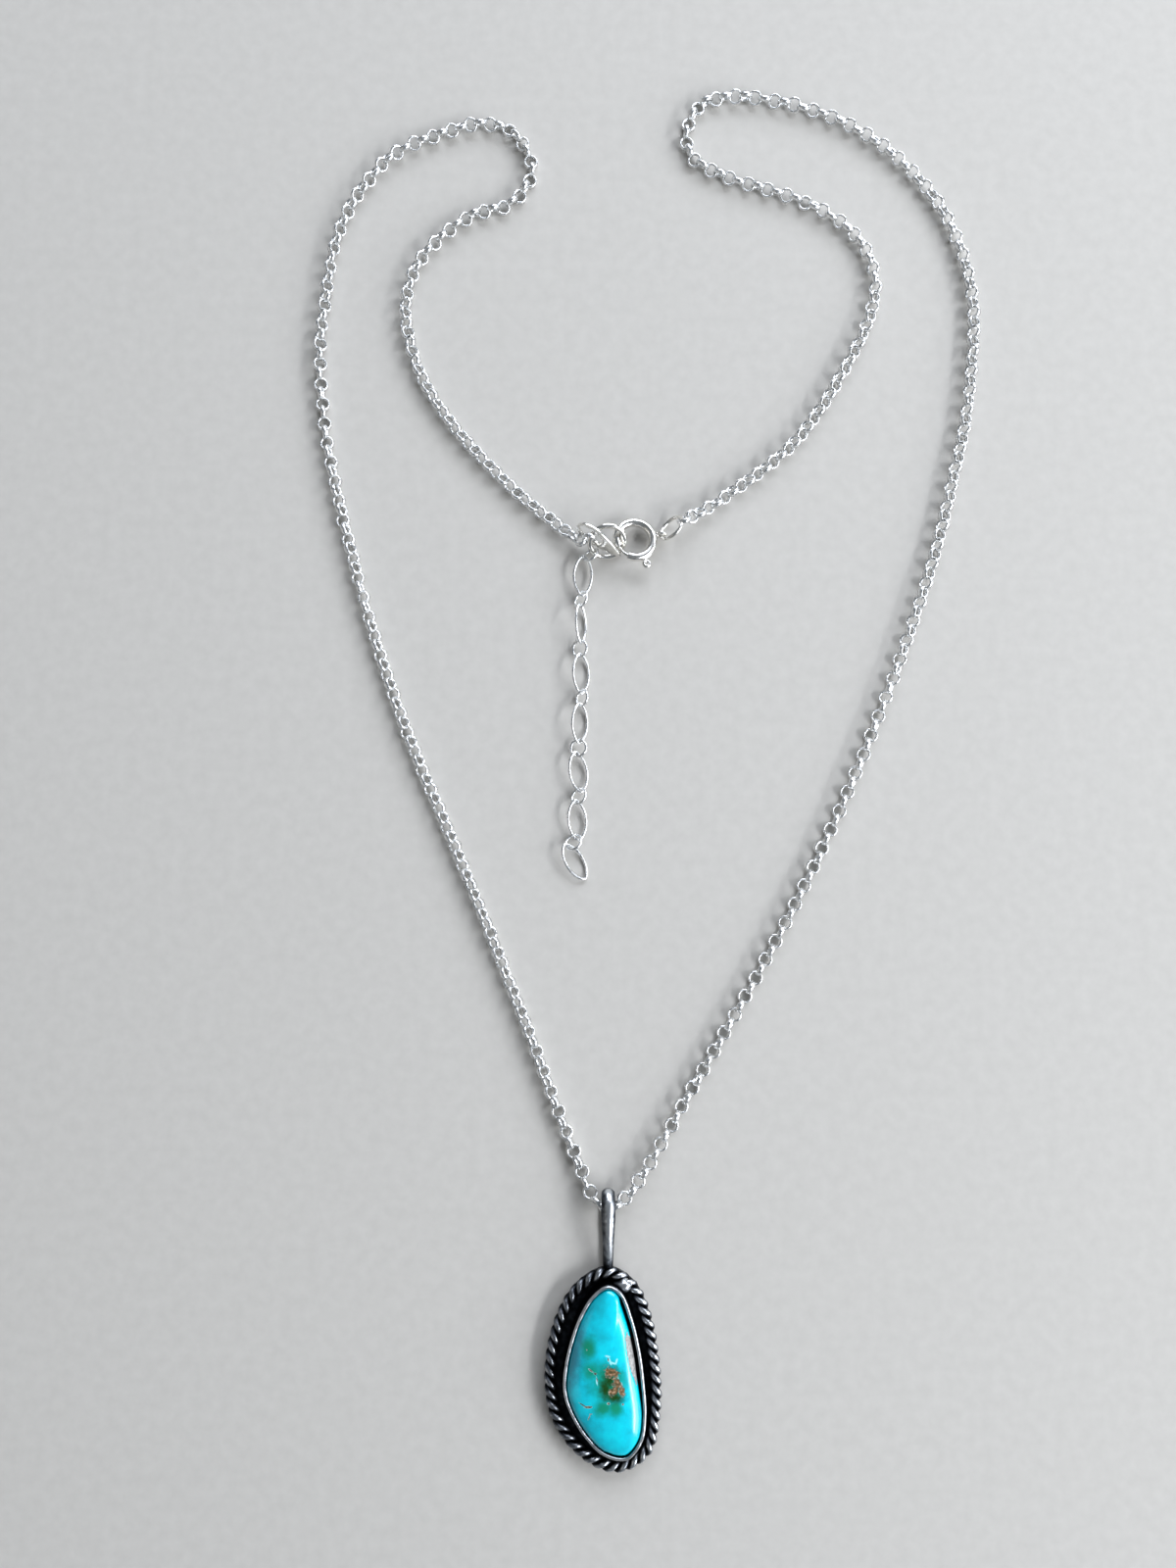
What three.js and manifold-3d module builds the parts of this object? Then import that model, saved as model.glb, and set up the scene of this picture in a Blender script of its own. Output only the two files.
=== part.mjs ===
// A turquoise pendant on a silver rolo chain with an extender, lying on a flat surface.
// Millimetres, +Z up. The surface is Z = 0, the pendant lies at -Y and the curls of the chain at +Y,
// and the origin is the middle of the necklace's footprint.

import * as THREE from 'three';
import * as BufferGeometryUtils from 'three/addons/utils/BufferGeometryUtils.js';
import Module from 'manifold-3d';

const wasm = await Module();
wasm.setup();

const radians = THREE.MathUtils.degToRad;

// ---------------------------------------------------------------- driving dimensions

// Neck chain: round links 1.8 mm across, as one tube of that diameter.
const chainDiameter = 1.8;
const chainSides = 8;
const chainSteps = 80;
const chainHeight = chainDiameter / 2;

// The chain's route from the large jump ring, round both curls and through the bail, to the small
// jump ring. It lies on the surface and only climbs to the two rings and over the back of the bail.
const chainRoute = [
  [-8.75, 27.85, 1.1],
  [-15.9, 32.4, chainHeight],
  [-23.4, 40.1, chainHeight],
  [-27.8, 46.2, chainHeight],
  [-30.4, 52.6, chainHeight],
  [-31.0, 58.0, chainHeight],
  [-30.0, 62.4, chainHeight],
  [-27.4, 66.2, chainHeight],
  [-22.6, 69.9, chainHeight],
  [-17.6, 71.6, chainHeight],
  [-15.4, 73.9, chainHeight],
  [-14.8, 76.9, chainHeight],
  [-17.2, 81.3, chainHeight],
  [-21.5, 82.5, chainHeight],
  [-27.2, 80.9, chainHeight],
  [-32.8, 78.3, chainHeight],
  [-37.1, 73.4, chainHeight],
  [-39.9, 67.7, chainHeight],
  [-41.3, 60.3, chainHeight],
  [-42.1, 52.0, chainHeight],
  [-41.2, 41.0, chainHeight],
  [-36.7, 21.7, chainHeight],
  [-30.8, 3.5, chainHeight],
  [-22.2, -16.9, chainHeight],
  [-15.3, -33.9, chainHeight],
  [-8.6, -51.3, chainHeight],
  [-6.5, -55.6, 1.5],
  [-4.8, -56.4, 1.7],
  [-3.0, -55.7, 1.5],
  [5.3, -42.7, chainHeight],
  [21.1, -14.7, chainHeight],
  [33.8, 15.3, chainHeight],
  [39.2, 33.2, chainHeight],
  [42.1, 47.5, chainHeight],
  [42.4, 60.6, chainHeight],
  [38.8, 71.0, chainHeight],
  [31.0, 79.7, chainHeight],
  [22.3, 84.3, chainHeight],
  [12.0, 86.2, chainHeight],
  [7.4, 85.0, chainHeight],
  [5.6, 81.1, chainHeight],
  [6.4, 77.9, chainHeight],
  [10.6, 75.3, chainHeight],
  [21.2, 71.7, chainHeight],
  [27.5, 67.4, chainHeight],
  [29.9, 62.0, chainHeight],
  [29.5, 57.0, chainHeight],
  [25.6, 48.8, chainHeight],
  [19.2, 39.5, chainHeight],
  [11.8, 33.5, chainHeight],
  [5.6, 29.35, 2.0],
];

// Clasp: a hollow spring ring. Angles turn round its axis, counted from its own +X.
const claspRadius = 2.36;
const claspTubeRadius = 0.55;
const claspBoreRadius = 0.36;
const gapFrom = 207;
const gapTo = 246;
const slotFrom = 286;
const slotTo = 350;
const slotHeight = 0.5;
const boltRadius = 0.19;
const boltFrom = 200;
const boltTo = 302;
const leverAngle = 294;
const leverStemRadius = 0.16;
const leverLoopRadius = 0.38;
const leverLoopWire = 0.2;
const leverLoopCentre = 3.5;
const eyeletRadius = 0.6;
const eyeletWire = 0.2;
const eyeletAngle = 13;
const eyeletCentre = 3.58;
const eyeletTurn = -9;
const claspPlace = { x: -1.36, y: 26.59, z: 1.43, tiltX: -7.3, tiltY: 8.3 };

// Jump rings: round wire, bent to a ring, tilted where they hang on their neighbours.
const largeRing = { radius: 2.22, wire: 0.35, x: -4.9, y: 26.2, z: 1.93, tiltX: 43, tiltY: 12.1 };
const smallRing = { radius: 1.7, wire: 0.26, x: 3.31, y: 28.06, z: 1.66, tiltX: -27.5, tiltY: -47.5 };

// Quality tag: a drop-shaped plate, wide at the holed end and pointed at the other.
const tagLength = 6.8;
const tagHalfWidth = 1.51;
const tagThickness = 0.26;
const tagHole = { centre: -1.35, halfLength: 1.75, halfWidth: 1.0 };
const tagPlace = { x: -5.89, y: 26.18, z: 2.51, roll: 71, pitch: 15.5, heading: -33.8 };

// Extender: seven marquise links and the small round links that join them, from the clasp down.
// Heading turns a link on the surface, pitch lifts its far end and roll turns it on its own length.
const extenderWire = 0.16;
const longLinkHalfWidth = 1.15;
const longLinkHalfLength = 2.55;
const longLinkPoint = 0.35;
const shortLinkRadius = 1.06;
const longLinks = [
  { x: -8.01, y: 22.06, z: 0.86, heading: -2, pitch: 2.5, roll: 9.7 },
  { x: -8.27, y: 15.82, z: 1.15, heading: 2, pitch: 3, roll: 59 },
  { x: -8.25, y: 9.46, z: 0.83, heading: 2, pitch: 2, roll: 32 },
  { x: -8.41, y: 3.12, z: 0.86, heading: -1, pitch: 1, roll: 36 },
  { x: -8.58, y: -3.1, z: 0.8, heading: 9, pitch: 4, roll: 19 },
  { x: -8.72, y: -9.18, z: 0.72, heading: 5, pitch: 7, roll: 14 },
  { x: -9.04, y: -14.38, z: 0.66, heading: 31, pitch: 9, roll: 17 },
];
const shortLinks = [
  { x: -7.01, y: 24.72, z: 1.05, heading: -60, pitch: 15.3, roll: 131.6 },
  { x: -8.24, y: 18.97, z: 0.97, heading: 34, pitch: -42, roll: -27 },
  { x: -8.4, y: 12.66, z: 0.88, heading: -22, pitch: 14, roll: -32 },
  { x: -8.12, y: 6.3, z: 1.0, heading: 22, pitch: -32, roll: -42 },
  { x: -8.56, y: -0.05, z: 0.9, heading: -11, pitch: -1, roll: -25 },
  { x: -8.5, y: -6.12, z: 0.87, heading: -6, pitch: -19, roll: -38 },
  { x: -9.16, y: -11.92, z: 0.85, heading: -63, pitch: 11, roll: -38 },
];

// Pendant: a back plate with a bezel and a twisted-wire border soldered on, and a bail at its head.
const plateThickness = 0.5;
const plateMargin = 0.45;
const borderRadius = 0.72;
const borderHeight = 1.15;
const bezelTop = 2.95;
const bezelWall = 0.35;
const solderOverlap = 0.06;

// The bezel's outer edge and the border's centre line, clockwise from the head of the pendant.
const bezelOutline = [
  [-4.9, -65.4], [-3.3, -66.3], [-2.1, -69.0], [-1.1, -73.0], [-0.6, -76.8], [-0.4, -80.7],
  [-0.9, -83.6], [-2.7, -85.6], [-5.5, -85.1], [-8.4, -82.1], [-10.2, -78.2], [-10.1, -74.6],
  [-8.5, -69.3], [-6.7, -66.5],
];
const borderOutline = [
  [-4.9, -64.3], [-2.1, -65.8], [-0.5, -68.8], [0.65, -74.6], [0.8, -80.5], [-0.4, -85.3],
  [-3.9, -87.1], [-8.1, -85.3], [-11.3, -80.9], [-11.9, -75.0], [-10.4, -69.1], [-8.2, -65.9],
];

// Bail: a half-round strip bent into a long loop, seen from the side as Y and Z.
const bailHalfWidth = 0.78;
const bailNeckHalfWidth = 0.5;
const bailHead = { x: -4.75, y: -54.1 };
const bailWidest = -57.5;
const bailFoot = { x: -4.95, y: -64.4 };

// Stone: a low cabochon. The profile goes from the middle of its base to its crown.
const stoneGap = 0.12;
const stoneCentre = new THREE.Vector3(-5.2, -76.4, 0);
const stoneProfile = [
  [0, 0.8], [0.97, 0.8], [1, 1.0], [1, 2.7], [0.96, 3.05], [0.85, 3.4], [0.6, 3.8], [0.3, 4.02], [0, 4.1],
];

// ---------------------------------------------------------------- materials

const sterlingSilver = new THREE.MeshStandardMaterial({ color: 0xd4d6d8, roughness: 0.22, metalness: 1 });
const oxidisedSilver = new THREE.MeshStandardMaterial({ color: 0x46494d, roughness: 0.38, metalness: 1 });
const turquoise = new THREE.MeshStandardMaterial({ color: 0x12cbe0, roughness: 0.25, metalness: 0 });

// ---------------------------------------------------------------- shared shapes

// A path whose steps fall evenly between its points, so bends with close points get short steps.
// It never dips into the surface between two points.
class Route extends THREE.CatmullRomCurve3 {
  getPoint(t, target) {
    const point = super.getPoint(t, target);
    point.z = Math.max(point.z, chainHeight);
    return point;
  }

  getPointAt(u, target) {
    return this.getPoint(u, target);
  }

  getTangentAt(u, target) {
    return this.getTangent(u, target);
  }
}

// Part of a circle about Z, between two angles in degrees.
class Arc extends THREE.Curve {
  constructor(radius, from, to) {
    super();
    this.radius = radius;
    this.from = radians(from);
    this.to = radians(to);
  }

  getPoint(t, target = new THREE.Vector3()) {
    const angle = this.from + (this.to - this.from) * t;
    return target.set(this.radius * Math.cos(angle), this.radius * Math.sin(angle), 0);
  }
}

// A regular polygon whose flats lie at the given distance, with a flat facing each axis.
function section(flatDistance, sides) {
  const corner = flatDistance / Math.cos(Math.PI / sides);
  const corners = Array.from({ length: sides }, (_, i) => {
    const angle = ((i + 0.5) / sides) * 2 * Math.PI;
    return new THREE.Vector2(corner * Math.cos(angle), corner * Math.sin(angle));
  });
  return new THREE.Shape(corners);
}

function tube(path, radius, sides, steps) {
  return new THREE.ExtrudeGeometry(section(radius, sides), { extrudePath: path, steps });
}

// A wire closed on itself: a torus whose centre line is laid along an outline in its own plane.
function closedWire(centreLine, wireRadius, sides, steps) {
  const geometry = new THREE.TorusGeometry(1, wireRadius, sides, steps);
  const position = geometry.attributes.position;
  const nearby = 0.01;
  for (let i = 0; i < position.count; i += 1) {
    const turn = Math.atan2(position.getY(i), position.getX(i));
    const offset = Math.hypot(position.getX(i), position.getY(i)) - 1;
    const centre = centreLine(turn);
    const along = centreLine(turn + nearby).sub(centreLine(turn - nearby)).normalize();
    position.setX(i, centre.x + along.y * offset);
    position.setY(i, centre.y - along.x * offset);
  }
  geometry.computeVertexNormals();
  return geometry;
}

// Points evenly along a smooth closed outline given clockwise, moved outwards by a distance.
function outlinePoints(corners, outwards, count) {
  const line = new THREE.CatmullRomCurve3(corners.map(([x, y]) => new THREE.Vector3(x, y, 0)), true);
  return Array.from({ length: count }, (_, i) => {
    const point = line.getPoint(i / count);
    const along = line.getTangent(i / count);
    return new THREE.Vector2(point.x - along.y * outwards, point.y + along.x * outwards);
  });
}

function prism(outer, hole, from, to) {
  const shape = new THREE.Shape(THREE.ShapeUtils.isClockWise(outer) ? [...outer].reverse() : outer);
  if (hole) shape.holes.push(new THREE.Path(hole));
  const geometry = new THREE.ExtrudeGeometry(shape, { depth: to - from, bevelEnabled: false });
  return geometry.translate(0, 0, from);
}

function solid(geometry) {
  const bare = geometry.clone();
  bare.deleteAttribute('normal');
  bare.deleteAttribute('uv');
  const merged = BufferGeometryUtils.mergeVertices(bare, 1e-4);
  return new wasm.Manifold(new wasm.Mesh({
    numProp: 3,
    vertProperties: new Float32Array(merged.attributes.position.array),
    triVerts: new Uint32Array(merged.index.array),
  }));
}

function geometryOf(manifold) {
  const mesh = manifold.getMesh();
  const geometry = new THREE.BufferGeometry();
  geometry.setAttribute('position', new THREE.BufferAttribute(mesh.vertProperties, 3));
  geometry.setIndex(new THREE.BufferAttribute(mesh.triVerts, 1));
  geometry.computeVertexNormals();
  return geometry;
}

function soldered(...geometries) {
  return geometries.map(solid).reduce((whole, piece) => whole.add(piece));
}

const necklace = new THREE.Group();

function addPiece(name, geometry, material, parent = necklace) {
  const piece = new THREE.Mesh(geometry, material);
  piece.name = name;
  parent.add(piece);
  return piece;
}

// Tilt first about X and then about Y, as a ring leans on its neighbours.
function leanAt(object, place) {
  object.position.set(place.x, place.y, place.z);
  object.rotation.set(radians(place.tiltX), radians(place.tiltY), 0, 'YXZ');
}

// ---------------------------------------------------------------- neck chain

function roloChain() {
  const route = new Route(chainRoute.map(([x, y, z]) => new THREE.Vector3(x, y, z)));
  return tube(route, chainDiameter / 2, chainSides, chainSteps);
}

// ---------------------------------------------------------------- clasp and jump rings

function springRingBody() {
  const boreOverrun = 4;
  const outer = tube(new Arc(claspRadius, gapTo, gapFrom + 360), claspTubeRadius, 12, 32);
  const bore = tube(
    new Arc(claspRadius, gapTo - boreOverrun, gapFrom + 360 + boreOverrun), claspBoreRadius, 8, 32,
  );
  const slotShape = new THREE.Shape();
  const slotInner = claspRadius + claspBoreRadius / 2;
  const slotOuter = claspRadius + claspTubeRadius * 1.5;
  slotShape.absarc(0, 0, slotOuter, radians(slotFrom), radians(slotTo), false);
  slotShape.absarc(0, 0, slotInner, radians(slotTo), radians(slotFrom), true);
  const slot = new THREE.ExtrudeGeometry(slotShape, {
    depth: slotHeight, bevelEnabled: false, curveSegments: 10,
  });
  slot.translate(0, 0, -slotHeight / 2);

  const eyelet = new THREE.TorusGeometry(eyeletRadius, eyeletWire, 8, 18);
  eyelet.rotateX(Math.PI / 2);
  eyelet.rotateZ(radians(eyeletTurn));
  eyelet.translate(
    eyeletCentre * Math.cos(radians(eyeletAngle)), eyeletCentre * Math.sin(radians(eyeletAngle)), 0,
  );
  return geometryOf(solid(outer).add(solid(eyelet)).subtract(solid(bore)).subtract(solid(slot)));
}

// The bolt lies in the bore and across the gap, and its lever comes out through the slot.
function springRingTrigger() {
  const bolt = tube(new Arc(claspRadius, boltFrom, boltTo), boltRadius, 8, 10);
  const stemLength = leverLoopCentre - leverLoopRadius - claspRadius;
  const stem = new THREE.CylinderGeometry(leverStemRadius, leverStemRadius, stemLength, 8);
  stem.rotateZ(Math.PI / 2);
  stem.translate(claspRadius + stemLength / 2, 0, 0);
  stem.rotateZ(radians(leverAngle));
  const loop = new THREE.TorusGeometry(leverLoopRadius, leverLoopWire, 8, 14);
  loop.translate(leverLoopCentre, 0, 0);
  loop.rotateZ(radians(leverAngle));
  return geometryOf(soldered(bolt, stem, loop));
}

function jumpRing(ring) {
  return new THREE.TorusGeometry(ring.radius, ring.wire, 8, 26);
}

// ---------------------------------------------------------------- quality tag

function qualityTag() {
  const outlineSteps = 34;
  const holeSteps = 20;
  const outer = Array.from({ length: outlineSteps }, (_, i) => {
    const turn = (i / outlineSteps) * 2 * Math.PI;
    const taper = 1.25 * Math.abs(Math.cos(turn / 2)) + 0.12;
    return new THREE.Vector2((-tagLength / 2) * Math.cos(turn), -tagHalfWidth * Math.sin(turn) * taper);
  });
  const hole = Array.from({ length: holeSteps }, (_, i) => {
    const turn = (i / holeSteps) * 2 * Math.PI;
    return new THREE.Vector2(
      tagHole.centre + tagHole.halfLength * Math.cos(turn), tagHole.halfWidth * Math.sin(turn),
    );
  });
  return prism(outer, hole, -tagThickness / 2, tagThickness / 2);
}

// ---------------------------------------------------------------- extender

function longLink() {
  const centreLine = (turn) => {
    const across = Math.cos(turn) * Math.abs(Math.cos(turn)) ** longLinkPoint;
    return new THREE.Vector2(longLinkHalfWidth * across, longLinkHalfLength * Math.sin(turn));
  };
  return closedWire(centreLine, extenderWire, 6, 20);
}

function shortLink() {
  return new THREE.TorusGeometry(shortLinkRadius, extenderWire, 6, 16);
}

function addLinks(name, places, makeLink) {
  places.forEach((place, i) => {
    const link = addPiece(`${name}_${i + 1}`, makeLink(), sterlingSilver);
    link.position.set(place.x, place.y, place.z);
    link.rotation.set(radians(place.pitch), radians(place.roll), radians(place.heading), 'ZXY');
  });
}

// ---------------------------------------------------------------- pendant

// The bail's side outline, from the foot along the surface, round the head and back over the top.
function bail() {
  const side = new THREE.Shape();
  side.moveTo(bailFoot.y, 0);
  side.lineTo(-56.4, 0);
  side.bezierCurveTo(-54.9, 0.1, -54.0, 0.9, bailHead.y, 2.1);
  side.bezierCurveTo(-54.2, 3.2, -55.4, 3.75, -56.9, 3.7);
  side.bezierCurveTo(-59.5, 3.6, -62.0, 3.0, bailFoot.y, 2.0);
  side.closePath();
  const hollow = new THREE.Path();
  hollow.moveTo(-63.0, 0.55);
  hollow.lineTo(-56.4, 0.5);
  hollow.bezierCurveTo(-55.3, 0.55, -54.8, 1.2, -54.8, 2.0);
  hollow.bezierCurveTo(-54.8, 2.7, -55.8, 2.95, -56.9, 2.9);
  hollow.bezierCurveTo(-59.3, 2.75, -61.5, 2.2, -63.0, 1.3);
  hollow.closePath();
  side.holes.push(hollow);

  const width = 2 * bailHalfWidth;
  const geometry = new THREE.ExtrudeGeometry(side, { depth: width, bevelEnabled: false, curveSegments: 5 });
  geometry.translate(0, 0, -bailHalfWidth);
  const alongY = new THREE.Vector3(0, 1, 0);
  const alongZ = new THREE.Vector3(0, 0, 1);
  const alongX = new THREE.Vector3(1, 0, 0);
  geometry.applyMatrix4(new THREE.Matrix4().makeBasis(alongY, alongZ, alongX));

  // The strip narrows from its widest place to its foot, and leans a little to one side.
  const position = geometry.attributes.position;
  for (let i = 0; i < position.count; i += 1) {
    const y = position.getY(i);
    const down = THREE.MathUtils.clamp((bailWidest - y) / (bailWidest - bailFoot.y), 0, 1);
    const narrow = THREE.MathUtils.lerp(1, bailNeckHalfWidth / bailHalfWidth, down);
    const lean = (bailHead.y - y) / (bailHead.y - bailFoot.y);
    position.setX(i, THREE.MathUtils.lerp(bailHead.x, bailFoot.x, lean) + position.getX(i) * narrow);
  }
  return geometry;
}

function pendantSetting() {
  const steps = 44;
  const plate = prism(outlinePoints(borderOutline, plateMargin, steps), null, 0, plateThickness);
  const bezel = prism(
    outlinePoints(bezelOutline, 0, steps),
    outlinePoints(bezelOutline, -bezelWall, steps),
    plateThickness - solderOverlap,
    bezelTop,
  );
  const borderLine = new THREE.CatmullRomCurve3(
    borderOutline.map(([x, y]) => new THREE.Vector3(x, y, 0)).reverse(), true,
  );
  const border = closedWire((turn) => {
    const part = THREE.MathUtils.euclideanModulo(turn / (2 * Math.PI), 1);
    const point = borderLine.getPoint(part);
    return new THREE.Vector2(point.x, point.y);
  }, borderRadius, 8, steps);
  border.translate(0, 0, borderHeight);
  return geometryOf(soldered(plate, bezel, border, bail()));
}

// A lathe-turned dome of unit radius, spread out to the bezel's inner outline.
function turquoiseStone() {
  const steps = 40;
  const profile = stoneProfile.map(([radius, height]) => new THREE.Vector2(radius, height));
  const geometry = new THREE.LatheGeometry(profile, steps);
  geometry.rotateX(Math.PI / 2);
  const edge = outlinePoints(bezelOutline, -bezelWall - stoneGap, steps);
  const position = geometry.attributes.position;
  for (let i = 0; i < position.count; i += 1) {
    const part = Math.atan2(position.getX(i), position.getY(i)) / (2 * Math.PI);
    const corner = edge[Math.round(THREE.MathUtils.euclideanModulo(part, 1) * steps) % steps];
    const reach = Math.hypot(position.getX(i), position.getY(i));
    position.setX(i, THREE.MathUtils.lerp(stoneCentre.x, corner.x, reach));
    position.setY(i, THREE.MathUtils.lerp(stoneCentre.y, corner.y, reach));
  }
  geometry.computeVertexNormals();
  return geometry;
}

// ---------------------------------------------------------------- assembly

addPiece('rolo_chain', roloChain(), sterlingSilver);

const clasp = new THREE.Group();
leanAt(clasp, claspPlace);
necklace.add(clasp);
addPiece('spring_ring_body', springRingBody(), sterlingSilver, clasp);
addPiece('spring_ring_trigger', springRingTrigger(), sterlingSilver, clasp);
leanAt(addPiece('jump_ring_large', jumpRing(largeRing), sterlingSilver), largeRing);
leanAt(addPiece('jump_ring_small', jumpRing(smallRing), sterlingSilver), smallRing);

const tag = addPiece('quality_tag', qualityTag(), sterlingSilver);
tag.position.set(tagPlace.x, tagPlace.y, tagPlace.z);
tag.rotation.set(radians(tagPlace.roll), radians(tagPlace.pitch), radians(tagPlace.heading), 'ZYX');

addLinks('long_link', longLinks, longLink);
addLinks('short_link', shortLinks, shortLink);

addPiece('pendant_setting', pendantSetting(), oxidisedSilver);
addPiece('turquoise_stone', turquoiseStone(), turquoise);

export default necklace;
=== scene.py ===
"""A turquoise pendant on a silver rolo chain, lying with its clasp fastened and its extender loose."""
import math
import random

import bmesh
import bpy
import numpy as np
from mathutils import Euler, Matrix, Vector


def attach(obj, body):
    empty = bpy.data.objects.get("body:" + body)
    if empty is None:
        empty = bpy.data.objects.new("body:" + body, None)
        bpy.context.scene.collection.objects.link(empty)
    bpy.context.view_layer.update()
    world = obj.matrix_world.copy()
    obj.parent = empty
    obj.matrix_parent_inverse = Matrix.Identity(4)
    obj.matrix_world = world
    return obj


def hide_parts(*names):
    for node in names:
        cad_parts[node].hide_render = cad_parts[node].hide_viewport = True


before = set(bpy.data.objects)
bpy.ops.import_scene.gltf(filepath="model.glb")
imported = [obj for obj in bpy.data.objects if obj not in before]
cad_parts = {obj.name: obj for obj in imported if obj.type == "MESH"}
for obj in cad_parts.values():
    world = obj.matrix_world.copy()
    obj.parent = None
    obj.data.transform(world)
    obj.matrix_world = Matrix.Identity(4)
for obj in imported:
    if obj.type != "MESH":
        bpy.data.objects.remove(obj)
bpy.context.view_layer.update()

random.seed(7)

MM = 0.001
UP = np.array([0.0, 0.0, 1.0])
BODY = "necklace"
TRIGGER_BODY = "clasp_trigger"

# ---------------------------------------------------------------- real sizes, in millimetres

# Rolo chain: round links of oval wire, each turned a quarter from the next. The wire is
# LINK_WIRE thick, and LINK_BAND wide along the link's axis.
LINK_RADIUS = 0.95
LINK_WIRE = 0.32
LINK_BAND = 0.7
LINK_PITCH = 1.305
# The chain's middle line from the large jump ring through the bail to the small one. A point
# without a height lies flat, with its middle CHAIN_HEIGHT up.
CHAIN_HEIGHT = 0.9
CHAIN_ROUTE = [
    (-7.2, 26.5, 2.5), (-8.3, 26.5, 1.75), (-9.4, 27.2, 1.35), (-11.2, 28.6, 1.0), (-15.9, 32.4),
    (-23.4, 40.1), (-27.8, 46.2), (-30.4, 52.6), (-31.0, 58.0), (-30.0, 62.4), (-27.4, 66.2),
    (-22.6, 69.9), (-17.6, 71.6), (-15.4, 73.9), (-14.8, 76.9), (-17.2, 81.3), (-21.5, 82.5),
    (-27.2, 80.9), (-32.8, 78.3), (-37.1, 73.4), (-39.9, 67.7), (-41.3, 60.3), (-42.1, 52.0),
    (-41.2, 41.0), (-36.7, 21.7), (-30.8, 3.5), (-22.2, -16.9), (-15.3, -33.9), (-8.6, -51.3),
    (-6.5, -55.6, 1.5), (-4.8, -56.4, 1.7), (-3.0, -55.7, 1.5), (5.3, -42.7), (21.1, -14.7),
    (33.8, 15.3), (39.2, 33.2), (42.1, 47.5), (42.4, 60.6), (38.8, 71.0), (31.0, 79.7), (22.3, 84.3),
    (12.0, 86.2), (7.4, 85.0), (5.6, 81.1), (6.4, 77.9), (10.6, 75.3), (21.2, 71.7), (27.5, 67.4),
    (29.9, 62.0), (29.5, 57.0), (25.6, 48.8), (19.2, 39.5), (11.8, 33.5), (7.1, 30.2, 1.4),
    (4.85, 28.85, 2.4),
]
# How far the chain has rolled on its own length, in degrees, at parts of its whole length.
CHAIN_ROLL = [
    (0.0, 75), (0.02, 50), (0.05, 45), (0.09, 48), (0.105, 60), (0.126, 75), (0.14, 90), (0.155, 105),
    (0.175, 122), (0.2, 135), (0.235, 138), (0.25, 112), (0.262, 90), (0.275, 70), (0.31, 66),
    (0.345, 59), (0.385, 56), (0.425, 54), (0.445, 35), (0.46, 12), (0.475, 0), (0.58, 4), (0.62, 20),
    (0.65, 42), (0.68, 52), (0.76, 55), (0.785, 40), (0.82, 30), (0.84, 2), (0.86, -18), (0.9, -35),
    (0.94, -48), (0.975, -50), (1.0, -60),
]
# How unevenly the links lie: their roll in degrees, their heading as a slope and their place.
ROLL_SPREAD = 7
HEADING_SPREAD = 0.05
PLACE_SPREAD = 0.035
# How far a link's lowest point stays above the surface.
FLOOR_GAP = 0.01

# Clasp, a hollow spring ring. Angles are in degrees round its own axis, and it leans about X
# and then Y.
CLASP_PLACE = Vector((-1.36, 26.59, 1.43))
CLASP_LEAN = (-7.3, 8.3)
CLASP_RADIUS = 2.36
CLASP_TUBE = 0.55
CLASP_WALL = 0.17
CLASP_GAP = (207, 246)
CLASP_SLOT = (287, 350)
BOLT_RADIUS = 0.22
BOLT_SPAN = (200, 302)
LEVER_ANGLE = 294
LEVER_STEM = 0.15
# The lever's finger loop and the eyelet: how far out they sit, ring radius and wire radius.
LEVER_LOOP = (3.5, 0.35, 0.23)
EYELET = (3.58, 0.6, 0.2)
# The solder collar between tube and eyelet: where it starts and ends, and its two radii.
COLLAR = (2.72, 3.2, 0.36, 0.22)
EYELET_ANGLE = 13
EYELET_TURN = -9

# Jump rings: centre, ring radius, wire radius and how far they lean about X and then Y. For
# JOINT_HALF_ANGLE degrees to each side of its joint a ring's wire is JOINT_DEPTH thinner all round.
LARGE_RING = ((-4.9, 26.2, 1.93), 2.22, 0.35, (43.0, 12.1))
SMALL_RING = ((3.31, 28.06, 1.66), 1.7, 0.26, (-27.5, -47.5))
JOINT_DEPTH = 0.05
JOINT_HALF_ANGLE = 2.6

# Quality tag, a drop-shaped plate: an ellipse whose width is multiplied by TAG_TAPER + TAG_TIP at
# its round end, falling to TAG_TIP at its point. TAG_HOLE is the hole's middle along the tag, its
# half length and its half width. TAG_TURN is in degrees about X, Y and Z.
TAG_LENGTH = 6.8
TAG_HALF_WIDTH = 1.51
TAG_TAPER = 1.25
TAG_TIP = 0.12
TAG_THICKNESS = 0.26
TAG_HOLE = (-1.35, 1.75, 1.0)
TAG_PLACE = (-5.89, 26.18, 2.51)
TAG_TURN = (71, 15.5, -33.8)

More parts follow.
